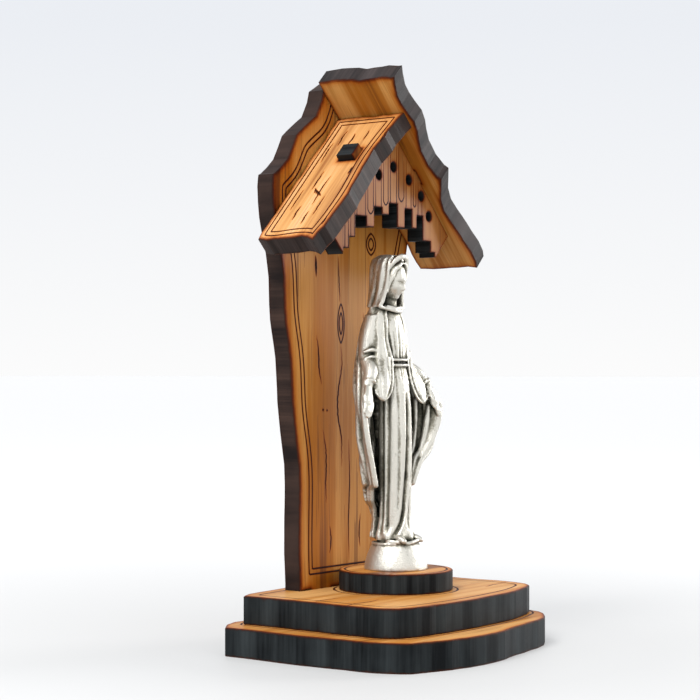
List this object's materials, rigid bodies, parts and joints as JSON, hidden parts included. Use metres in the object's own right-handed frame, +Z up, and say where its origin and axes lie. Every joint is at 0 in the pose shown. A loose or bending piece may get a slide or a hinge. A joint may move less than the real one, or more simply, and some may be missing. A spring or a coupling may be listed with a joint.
{
  "type": "devotional wayside shrine",
  "caption": "Small laser-cut wooden wayside shrine: stepped base, wavy back board, pitched roof with a slatted gable, and a cast metal standing figure on a disc.",
  "frame": {"origin": "centre of the underside of the bottom plate, which is the middle of the object's box seen from above", "axes": "+Z up; the open front of the shrine faces -Y; +X to the right seen from the front"},
  "size_m": [0.1085, 0.081, 0.1865],
  "materials": {
    "base_wood": "oiled, laser-charred edges",
    "board_wood": "oiled, laser-charred edges",
    "roof_wood": "oiled, laser-charred edges",
    "gable_wood": "oiled, laser-engraved",
    "dowel_wood": "plain turned",
    "figure_metal": "cast, antique silver with dark patina",
    "stud_metal": "plain turned"
  },
  "bodies": {
    "root": {"base_lower_plate": "base_wood", "base_upper_plate": "base_wood", "plinth_disc": "base_wood", "back_board": "board_wood", "roof_left_panel": "roof_wood", "roof_right_panel": "roof_wood", "gable_board": "gable_wood", "madonna_figure": "figure_metal", "figure_stud": "stud_metal", "base_dowel_left": "dowel_wood", "base_dowel_right": "dowel_wood"}
  },
  "joints": []
}
